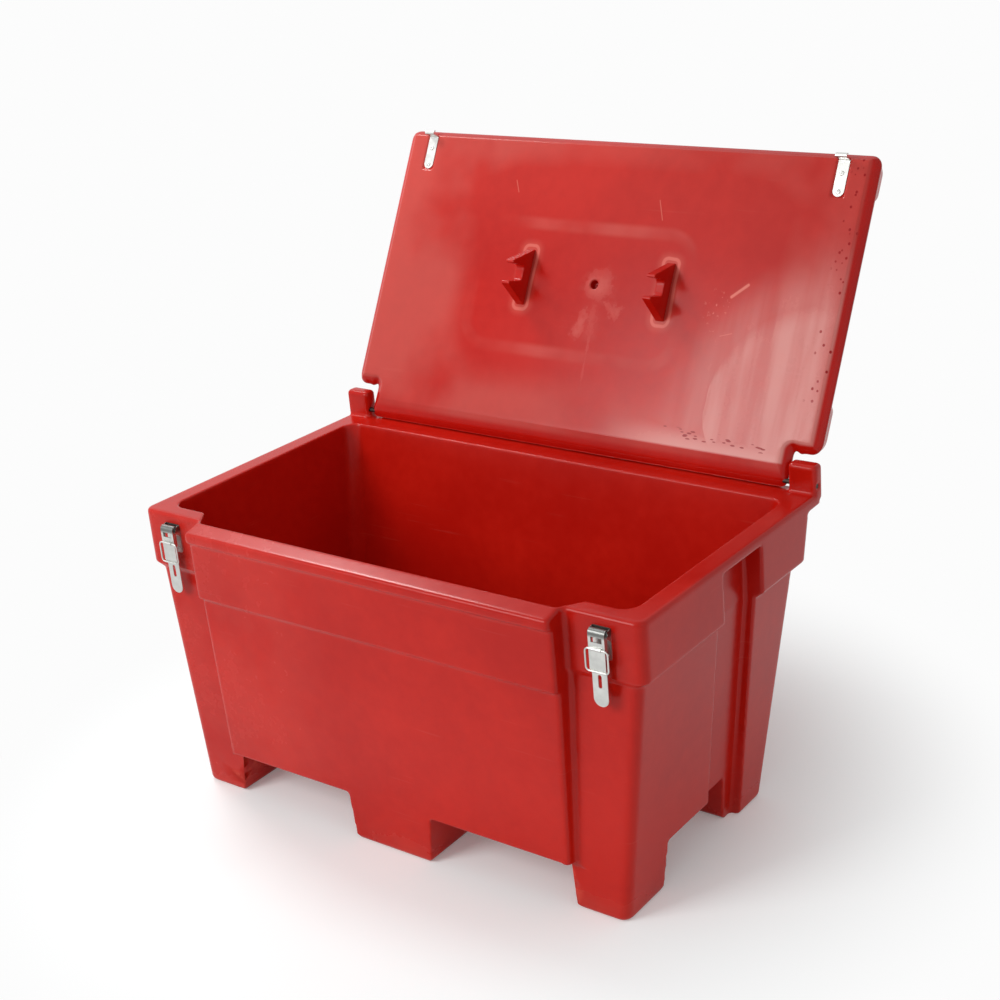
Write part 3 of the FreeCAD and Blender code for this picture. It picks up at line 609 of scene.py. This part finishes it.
def lid_marks(build, place, colour, roughness):
    """Marks of use on the lid's inner side, and the painted sheen on it."""
    lid = LidSide(build, place)
    # haze on the lid: partly scuffing, partly painted reflection
    colour = build.tint(lid.haze_and_reflection() * lid.inner, colour, HAZE_AND_REFLECTION_TINT)
    colour = build.tint(lid.band() * lid.inner * 0.26, colour, HAZE_AND_REFLECTION_TINT)
    # painted sheen: painted reflection and highlight, a little rougher where it lies
    painted_sheen = lid.sheen() * lid.inner
    colour = build.tint(painted_sheen * 0.64, colour, PAINTED_SHEEN_TINT)
    roughness = roughness + painted_sheen * 0.08
    crust = lid.crust()
    colour = build.tint(crust * lid.fine.step(0.10, 0.65) * lid.inner * 0.30, colour, CRUST_TINT)
    roughness = roughness + crust * lid.inner * 0.15
    for side in SIDES:
        colour = build.tint(lid.ring(side) * lid.inner, colour, RING_TINT)
    colour = build.tint(lid.scrapes() * lid.inner * 0.55, colour, SCRAPE_TINT)
    colour = build.tint(lid.droplets() * lid.inner, colour, WET_TINT)
    return colour, roughness


def tub_marks(build, place, colour, roughness):
    """Dust on the feet, and patches on the front that are paler and a little rougher towards its
    left.
    """
    x, y, z = place.parts()
    flow = build.noise(place, scale=6.0, detail=4.0, roughness=0.6)
    dust = z.step(0.06, 0.0) * flow.step(0.35, 0.7)
    colour = build.tint(dust * 0.15, colour, FOOT_TINT)
    # patches on the front, paler and a little rougher towards its left
    paler_left = y.step(-0.30, -0.34) * x.step(0.1, -0.5) * flow.step(0.3, 0.6)
    colour = build.tint(paler_left * 0.16, colour, LEFT_FRONT_TINT)
    return colour, roughness + dust * 0.2 + paler_left * 0.05


def dull_steel(set_up):
    """Dark weathered steel of the hinge pins."""
    material, build, end = new_material("pin_steel_dull")
    place = build.node("ShaderNodeTexCoord", output="Object")
    cloud = build.noise(place, scale=120.0, detail=3.0)
    colour = build.tint(cloud, set_up.pin_deep, set_up.pin_bright)
    shader = build.node("ShaderNodeBsdfPrincipled", inputs={
        "Base Color": colour, "Roughness": 0.45 + cloud * 0.2, "Metallic": 1.0})
    close_material(build, end, shader)
    return material


def stainless(set_up):
    """Satin stainless sheet, brushed upright, with faint handling marks and a painted dark
    reflection on the lever tops.
    """
    material, build, end = new_material("stainless_satin")
    place = build.node("ShaderNodeTexCoord", output="Object")
    stretched = build.mapped(place, (1500.0, 1500.0, 60.0))
    brush = build.noise(stretched, scale=1.0, detail=3.0, roughness=0.6)
    cloud = build.noise(place, scale=70.0, detail=3.0)
    colour = build.tint(cloud, set_up.steel_deep, set_up.steel_bright)
    top = max(v.co.z for v in frame["nodes"]["latch_lever_left"].data.vertices)
    z = place.parts()[2]
    below, above = ([top + shift for shift in band] for band in (ARCH_BELOW, ARCH_ABOVE))
    # painted dark reflection on the lever's arched top
    arch = z.step(*below) * z.step(*above)
    colour = build.tint(arch * ARCH_SHARE, colour, set_up.arch_painted_reflection)
    roughness = 0.24 + brush * 0.16 + cloud * 0.08
    bump = build.node("ShaderNodeBump", inputs={
        "Height": brush, "Strength": 0.08, "Distance": 0.0004})
    shader = build.node("ShaderNodeBsdfPrincipled", inputs={
        "Base Color": colour, "Roughness": roughness, "Normal": bump, "Metallic": 1.0})
    close_material(build, end, shader)
    return material


def seen_rays(build):
    """One for the rays that show the pale background: camera, glossy and transmission rays."""
    camera, glossy, through = (
        build.node("ShaderNodeLightPath", output="Is " + kind + " Ray")
        for kind in ("Camera", "Glossy", "Transmission"))
    return camera.larger(glossy).larger(through)


def pale_stage(name, set_up):
    """Pale floor with soft shadows near the bin, that fades to white farther off."""
    material, build, end = new_material(name)
    place = build.node("ShaderNodeTexCoord", output="Object")
    away = build.node("ShaderNodeVectorMath", {"operation": "LENGTH"}, {0: place}, output="Value")
    diffuse = build.node("ShaderNodeBsdfDiffuse", inputs={"Color": set_up.floor_colour})
    glow = build.node("ShaderNodeEmission", inputs={"Strength": set_up.floor_lift})
    white = build.node("ShaderNodeEmission", inputs={"Strength": set_up.white})
    near = build.node("ShaderNodeAddShader", inputs={0: diffuse, 1: glow})
    faded = build.node("ShaderNodeMixShader", inputs={
        0: away.step(set_up.fade_start, set_up.fade_end), 1: near, 2: white})
    close_material(build, end, build.node("ShaderNodeMixShader", inputs={
        0: seen_rays(build), 1: diffuse, 2: faded}))
    return material


# Meshes

def linked(name, data):
    """New object in the scene."""
    made = bpy.data.objects.new(name, data)
    bpy.context.scene.collection.objects.link(made)
    return made


def baked(obj, name):
    """Plain mesh object from another object's finished shape, which then goes."""
    ready = obj.evaluated_get(bpy.context.evaluated_depsgraph_get())
    mesh = bpy.data.meshes.new_from_object(ready)
    mesh.name = name
    bpy.data.objects.remove(obj)
    return linked(name, mesh)


def joined_copy(node, name):
    """Copy of a CAD node whose loose triangles are joined to one closed skin."""
    mesh = frame["nodes"][node].data.copy()
    work = bmesh.new()
    work.from_mesh(mesh)
    bmesh.ops.remove_doubles(work, verts=work.verts, dist=MERGE_DISTANCE)
    work.to_mesh(mesh)
    work.free()
    return linked(name, mesh)


def between(value, low, high):
    """0 at low, 1 at high and smooth between them. High may be the smaller one."""
    share = min(max((value - low) / (high - low), 0.0), 1.0)
    return share * share * (3.0 - 2.0 * share)


# How the shaping of the moulded skins sets in and dies out, in metres, ratios and shares

NOTCH_SIDE = (-0.004, 0.020)  # from a notch's side outwards, where its filling starts and is full
NOTCH_EASE = 0.070  # length past a notch over which the moved edge comes to rest
ROLL_RISE = (-0.006, 0.012)  # heights over the hinge line between which the falling sets in
FRONT_RATIO = 1.5  # how much narrower the band is along the lid's front edge
HEEL_CURL = 0.25  # share of the hinge band's fall that is curled
LEVEL_BAND = 0.020  # a corner this near to a height counts as being at it


def notch_slide(across, s, set_up):
    """Share of the notch filling that a point of the lid takes part in."""
    before, after = (set_up.notch_half + shift for shift in NOTCH_SIDE)
    return between(across, before, after) * between(
        s, set_up.notch_along + NOTCH_EASE, set_up.notch_along)


def edge_drop(across, s, half, reach, set_up):
    """How far the lid's inner side falls away at a point, by its distance from the edges."""
    low, high = reach
    beside = max(set_up.notch_half - across, 0.0)
    beyond = max(s - (set_up.notch_along - set_up.notch_fill), 0.0)
    inset = min(half - across, (high - s) * FRONT_RATIO, math.hypot(beside, beyond))
    share = min(max(1.0 - inset / set_up.roll_width, 0.0), 1.0)
    roll = set_up.roll_depth * (1.0 - (1.0 - share) ** 2)
    fall = min(max((low + set_up.heel_width - s) / set_up.heel_width, 0.0), 1.0)
    heel = set_up.heel_depth * (fall * (1.0 - HEEL_CURL) + fall ** 3 * HEEL_CURL)
    return max(roll, heel)


def rolled_edges(mesh, set_up):
    """The lid's inner side falls away in a band round its edge, and its notches close in."""
    hinge, along, out = lid_axes()
    spots = lid_points("lid")
    half = max(abs(p[0]) for p in spots)
    reach = span(p[1] for p in spots)
    for vertex in mesh.vertices:
        arm = vertex.co - hinge
        across, s, rise = abs(vertex.co.x), arm.dot(along), arm.dot(out)
        slide = notch_slide(across, s, set_up) * set_up.notch_fill
        drop = edge_drop(across, s - slide, half, reach, set_up) * between(rise, *ROLL_RISE)
        vertex.co -= along * slide + out * drop


def clean_legs(mesh, set_up):
    """The outer legs end flush in front, with no edge of the panel left beside them."""
    corners = [v.co for v in frame["nodes"]["tub"].data.vertices if abs(v.co.x) > set_up.leg_clear]
    foot = min(corners, key=lambda co: (co.z > LEVEL_BAND, co.y))
    top = min(corners, key=lambda co: (abs(co.z - set_up.leg_top) > LEVEL_BAND, co.y))
    lean = (top.y - foot.y) / (top.z - foot.z)
    for vertex in mesh.vertices:
        place = vertex.co
        if abs(place.x) > set_up.leg_edge and place.z < set_up.pocket_roof:
            place.y = max(place.y, foot.y + (place.z - foot.z) * lean)


def softened(node, name, voxel, rounds, most, material, shaped=None):
    """A CAD node remade with the soft edges of a moulding, thinned where it is flat."""
    obj = joined_copy(node, name)
    remesh = obj.modifiers.new("Remesh", "REMESH")
    remesh.mode = "VOXEL"
    remesh.voxel_size = voxel
    smooth = obj.modifiers.new("Smooth", "SMOOTH")
    smooth.factor = 0.5
    smooth.iterations = rounds
    full = baked(obj, name + "_full")
    if shaped:
        shaped(full.data)
    triangles = sum(len(face.vertices) - 2 for face in full.data.polygons)
    thin = full.modifiers.new("Thin", "DECIMATE")
    thin.ratio = min(1.0, most / triangles)
    made = baked(full, name)
    dress(made, material, smooth=True)
    return made


def dress(obj, material, smooth=False):
    """Gives an object one material all over, and smooth shading where asked for."""
    obj.data.materials.clear()
    obj.data.materials.append(material)
    for face in obj.data.polygons:
        face.material_index = 0
        face.use_smooth = face.use_smooth or smooth


def kept_inside(obj, node):
    """Holds a mesh within its CAD node's box."""
    low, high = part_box(node)
    for vertex in obj.data.vertices:
        for axis in range(3):
            vertex.co[axis] = min(max(vertex.co[axis], low[axis]), high[axis])


def wire_line(corners, bend, steps=8):
    """Closed line through corners, each rounded by an arc of the given radius."""
    points = []
    for i, corner in enumerate(corners):
        back = (corners[i - 1] - corner).normalized()
        ahead = (corners[(i + 1) % len(corners)] - corner).normalized()
        half = back.angle(ahead) / 2.0
        middle = corner + (back + ahead).normalized() * (bend / math.sin(half))
        first = corner + back * (bend / math.tan(half)) - middle
        last = corner + ahead * (bend / math.tan(half)) - middle
        for step in range(steps + 1):
            arm = first.lerp(last, step / steps).normalized() * bend
            points.append(middle + arm)
    return points


def wire_mesh(name, points, radius, material):
    """Closed round wire along a line."""
    curve = bpy.data.curves.new(name, "CURVE")
    curve.dimensions = "3D"
    curve.bevel_depth = radius
    curve.bevel_resolution = 5
    spline = curve.splines.new("POLY")
    spline.points.add(len(points) - 1)
    for place, point in zip(points, spline.points):
        point.co = (*place, 1.0)
    spline.use_cyclic_u = True
    made = baked(linked(name + "_line", curve), name)
    dress(made, material, smooth=True)
    return made


HEAD_RINGS = 8
HEAD_STEPS = 40
RECESS_LIFT = 0.95


def screw_head(size, material):
    """Pan head with a cross recess, standing on the ground plane and facing up."""
    work = bmesh.new()
    profile = []
    for ring in range(HEAD_RINGS + 1):
        lean = math.pi / 2.0 * ring / HEAD_RINGS
        radius = size.head_radius * math.cos(lean) ** 0.5
        profile.append(work.verts.new((radius, 0.0, size.head_height * math.sin(lean))))
    for low, high in zip(profile, profile[1:]):
        work.edges.new((low, high))
    bmesh.ops.spin(work, geom=work.verts[:] + work.edges[:], cent=(0, 0, 0), axis=(0, 0, 1),
                   angle=2.0 * math.pi, steps=HEAD_STEPS, use_duplicate=False)
    bmesh.ops.remove_doubles(work, verts=work.verts, dist=MERGE_DISTANCE)
    bmesh.ops.contextual_create(work, geom=[e for e in work.edges if e.is_boundary])
    bmesh.ops.recalc_face_normals(work, faces=work.faces)
    head = object_from(work, "screw_head", material)
    for turn in (0.0, math.pi / 2.0):
        bar = bmesh.new()
        bmesh.ops.create_cube(bar, size=1.0)
        bmesh.ops.scale(bar, vec=(size.recess_reach * 2.0, size.recess_width, size.head_height),
                        verts=bar.verts)
        bmesh.ops.translate(bar, vec=(0, 0, size.head_height * RECESS_LIFT), verts=bar.verts)
        bmesh.ops.rotate(bar, cent=(0, 0, 0), matrix=Matrix.Rotation(turn, 3, "Z"),
                         verts=bar.verts)
        cutter = object_from(bar, "recess", material)
        cut = head.modifiers.new("Recess", "BOOLEAN")
        cut.operation = "DIFFERENCE"
        cut.solver = "EXACT"
        cut.object = cutter
        head = baked(head, "screw_head")
        bpy.data.objects.remove(cutter)
    return head


def object_from(work, name, material):
    """Object from a finished bmesh, which is then freed."""
    mesh = bpy.data.meshes.new(name)
    work.to_mesh(mesh)
    work.free()
    mesh.materials.append(material)
    return linked(name, mesh)


ROW_INPUTS = {"Geometry": "Geometry", "Copy": "Object", "Count": "Int", "First": "Vector",
              "Step": "Vector", "Turn": "Rotation", "Material": "Material"}


def row_group():
    """Geometry Nodes group that sets copies of an object in a straight row."""
    group = bpy.data.node_groups.new("Row Of Copies", "GeometryNodeTree")
    for name, kind in ROW_INPUTS.items():
        group.interface.new_socket(name, in_out="INPUT", socket_type="NodeSocket" + kind)
    group.interface.new_socket("Geometry", in_out="OUTPUT", socket_type="NodeSocketGeometry")
    build = Shade(group)
    given = group.nodes.new("NodeGroupInput")
    ask = {s.name: Shade(group, s) for s in given.outputs if s.name}
    line = build.node("GeometryNodeMeshLine", {"mode": "OFFSET"}, {
        "Count": ask["Count"], "Start Location": ask["First"], "Offset": ask["Step"]})
    copy = build.node("GeometryNodeObjectInfo", inputs={"Object": ask["Copy"]}, output="Geometry")
    placed = build.node("GeometryNodeInstanceOnPoints", inputs={
        "Points": line, "Instance": copy, "Rotation": ask["Turn"]})
    real = build.node("GeometryNodeRealizeInstances", inputs={"Geometry": placed})
    done = build.node("GeometryNodeSetMaterial", inputs={
        "Geometry": real, "Material": ask["Material"]})
    end = group.nodes.new("NodeGroupOutput")
    group.links.new(done.socket, end.inputs[0])
    return group


def row_of(name, group, settings):
    """Plain mesh of a row of copies made by the group."""
    holder = linked(name + "_row", bpy.data.meshes.new(name + "_row"))
    row = holder.modifiers.new("Row", "NODES")
    row.node_group = group
    for socket in group.interface.items_tree:
        if socket.in_out == "INPUT" and socket.name in settings:
            row[socket.identifier] = settings[socket.name]
    return baked(holder, name)


# Operators

class GRITBIN_OT_camera(bpy.types.Operator):
    """Set the camera where the photograph was taken from"""

    bl_idname = "gritbin.camera"
    bl_label = "Camera"

    def execute(self, context):
        set_up = context.scene.gritbin_camera
        ahead = Vector((math.sin(set_up.yaw) * math.cos(set_up.pitch),
                        math.cos(set_up.yaw) * math.cos(set_up.pitch), math.sin(set_up.pitch)))
        level = Vector((math.cos(set_up.yaw), -math.sin(set_up.yaw), 0.0))
        upright = level.cross(ahead)
        right = level * math.cos(set_up.roll) + upright * math.sin(set_up.roll)
        up = upright * math.cos(set_up.roll) - level * math.sin(set_up.roll)
        turned = Matrix((right, up, -ahead)).transposed().to_4x4()
        data = bpy.data.cameras.new("camera")
        data.sensor_width = SENSOR_WIDTH
        data.lens = set_up.lens
        data.shift_x = set_up.shift
        camera = linked("camera", data)
        camera.matrix_world = Matrix.Translation(set_up.place) @ turned
        context.scene.camera = camera
        return {"FINISHED"}


class GRITBIN_OT_studio(bpy.types.Operator):
    """Make the pale floor, the soft lamps and the even world"""

    bl_idname = "gritbin.studio"
    bl_label = "Studio"

    def execute(self, context):
        set_up = context.scene.gritbin_studio
        context.scene.view_settings.view_transform = "Standard"
        for name in ("key", "top", "fill"):
            self.lamp(name, set_up)
        plane = bmesh.new()
        bmesh.ops.create_grid(plane, x_segments=1, y_segments=1, size=set_up.floor_size / 2.0)
        floor = object_from(plane, "floor", pale_stage("floor_pale", set_up))
        self.world(context, set_up)
        return {"FINISHED"}

    def lamp(self, name, set_up):
        """Square lamp that looks at the middle of the bin."""
        place, power, size = (
            getattr(set_up, name + "_" + key) for key in ("place", "power", "size"))
        data = bpy.data.lights.new(name, "AREA")
        data.energy = power
        data.size = size
        lamp = linked(name, data)
        lamp.location = place
        aim = Vector((0.0, 0.0, set_up.aim_height)) - Vector(place)
        lamp.rotation_euler = aim.to_track_quat("-Z", "Y").to_euler()

    def world(self, context, set_up):
        """Even grey world. The camera and reflections show it as white."""
        world = bpy.data.worlds.new("studio")
        world.use_nodes = True
        world.node_tree.nodes.clear()
        build = Shade(world.node_tree)
        pale = (1.0, 1.0, 1.0, 1.0)
        light = build.node("ShaderNodeBackground", inputs={
            "Color": pale, "Strength": set_up.world_level})
        white = build.node("ShaderNodeBackground", inputs={
            "Color": pale, "Strength": set_up.white})
        both = build.node("ShaderNodeMixShader", inputs={
            0: seen_rays(build), 1: light, 2: white})
        end = world.node_tree.nodes.new("ShaderNodeOutputWorld")
        build.tree.links.new(both.socket, end.inputs["Surface"])
        context.scene.world = world


class GRITBIN_OT_moulding(bpy.types.Operator):
    """Remake the tub, the lid and the clips with soft moulded edges"""

    bl_idname = "gritbin.moulding"
    bl_label = "Moulding"

    def execute(self, context):
        set_up = context.scene.gritbin_moulding
        most = set_up.most_triangles
        red = moulded("tub_plastic_red", set_up.tub_deep, set_up.tub_bright, tub_marks)
        tub = softened("tub", "tub_skin", set_up.tub_voxel, set_up.tub_rounds, most, red,
                       lambda mesh: clean_legs(mesh, set_up))
        self.stand_for(tub, "tub", "tub", "tub_plastic")
        red = moulded("lid_plastic_red", set_up.lid_deep, set_up.lid_bright, lid_marks)
        lid = softened("lid", "lid_skin", set_up.lid_voxel, set_up.lid_rounds, most, red,
                       lambda mesh: rolled_edges(mesh, set_up))
        self.stand_for(lid, "lid", "lid", "lid_plastic")
        red = moulded("clip_plastic_red", set_up.clip_deep, set_up.clip_bright)
        for side in SIDES:
            node = "tool_clip_" + side
            clip = softened(node, "clip_skin_" + side, set_up.clip_voxel, set_up.clip_rounds,
                            most, red)
            self.stand_for(clip, node, "lid", "clip_plastic")
        return {"FINISHED"}

    def stand_for(self, obj, node, body, slot):
        """Puts a finished skin in the place of its CAD node."""
        kept_inside(obj, node)
        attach(obj, body)
        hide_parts(node)


class GRITBIN_OT_hardware(bpy.types.Operator):
    """Make the wire loops and screw heads, and give the steel pieces their finish"""

    bl_idname = "gritbin.hardware"
    bl_label = "Hardware"

    def execute(self, context):
        set_up = context.scene.gritbin_hardware
        steel = stainless(set_up)
        dull = dull_steel(set_up)
        head = screw_head(set_up, steel)
        group = row_group()
        for side in SIDES:
            for kind in STEEL_NODES:
                dress(frame["nodes"][kind + "_" + side], steel)
            dress(frame["nodes"]["hinge_pin_" + side], dull)
            self.loop(side, set_up, steel)
            self.screws(side, set_up, head, group, steel)
        bpy.data.objects.remove(head)
        return {"FINISHED"}

    def loop(self, side, set_up, steel):
        """Bent wire in place of the loop's straight cuts."""
        node = "latch_loop_" + side
        low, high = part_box(node)
        radius = set_up.wire_radius
        middle = (low[1] + high[1]) / 2.0
        foot, top = low[2] + radius, high[2] - radius
        left, right = low[0] + radius, high[0] - radius
        corners = [Vector((left, middle, top)), Vector((right, middle, top)),
                   Vector((right, middle, foot)), Vector((left, middle, foot))]
        wire = wire_mesh("wire_loop_" + side, wire_line(corners, set_up.wire_bend), radius, steel)
        kept_inside(wire, node)
        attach(wire, node)
        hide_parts(node)

    def screws(self, side, set_up, head, group, steel):
        """Round heads with a cross recess in place of a keeper's plain screws."""
        node = "keeper_screws_" + side
        hinge, along, out = lid_axes()
        spots = lid_points(node)
        left, right = span(p[0] for p in spots)
        near, far = span(p[1] for p in spots)
        seat = max(p[2] for p in spots) - set_up.head_height
        start = hinge + along * (near + set_up.head_radius) + out * seat
        start.x = (left + right) / 2.0
        step = (far - near - 2.0 * set_up.head_radius) / (SCREWS_PER_KEEPER - 1)
        turn = Matrix((along.cross(out), along, out)).transposed().to_euler()
        row = row_of("screw_heads_" + side, group, {
            "Copy": head, "Count": SCREWS_PER_KEEPER, "First": start, "Step": along * step,
            "Turn": turn, "Material": steel})
        for face in row.data.polygons:
            face.use_smooth = face.area < set_up.recess_width ** 2
        kept_inside(row, node)
        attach(row, "lid")
        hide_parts(node)


class GRITBIN_PT_panel(bpy.types.Panel):
    """Grit bin looks"""

    bl_idname = "GRITBIN_PT_panel"
    bl_label = "Grit Bin"
    bl_space_type = "VIEW_3D"
    bl_region_type = "UI"
    bl_category = "Grit Bin"

    def draw(self, context):
        for operator, settings in STEPS:
            box = self.layout.box()
            box.operator(operator.bl_idname)
            group = getattr(context.scene, settings)
            for key in type(group).__annotations__:
                box.prop(group, key)


STEPS = (
    (GRITBIN_OT_camera, "gritbin_camera"),
    (GRITBIN_OT_studio, "gritbin_studio"),
    (GRITBIN_OT_moulding, "gritbin_moulding"),
    (GRITBIN_OT_hardware, "gritbin_hardware"),
)
GROUPS = {
    "gritbin_camera": CameraSettings,
    "gritbin_studio": StudioSettings,
    "gritbin_moulding": MouldingSettings,
    "gritbin_hardware": HardwareSettings,
}


def register():
    """Registers the settings, the operators and the panel."""
    for name, group in GROUPS.items():
        bpy.utils.register_class(group)
        setattr(bpy.types.Scene, name, PointerProperty(type=group))
    for operator, _ in STEPS:
        bpy.utils.register_class(operator)
    bpy.utils.register_class(GRITBIN_PT_panel)


def unregister():
    """Takes away what register added, in reverse."""
    bpy.utils.unregister_class(GRITBIN_PT_panel)
    for operator, _ in reversed(STEPS):
        bpy.utils.unregister_class(operator)
    for name, group in GROUPS.items():
        delattr(bpy.types.Scene, name)
        bpy.utils.unregister_class(group)


def main():
    """Dresses the bin."""
    register()
    bpy.ops.gritbin.camera()
    bpy.ops.gritbin.studio()
    bpy.ops.gritbin.moulding()
    bpy.ops.gritbin.hardware()


if __name__ == "__main__":
    main()
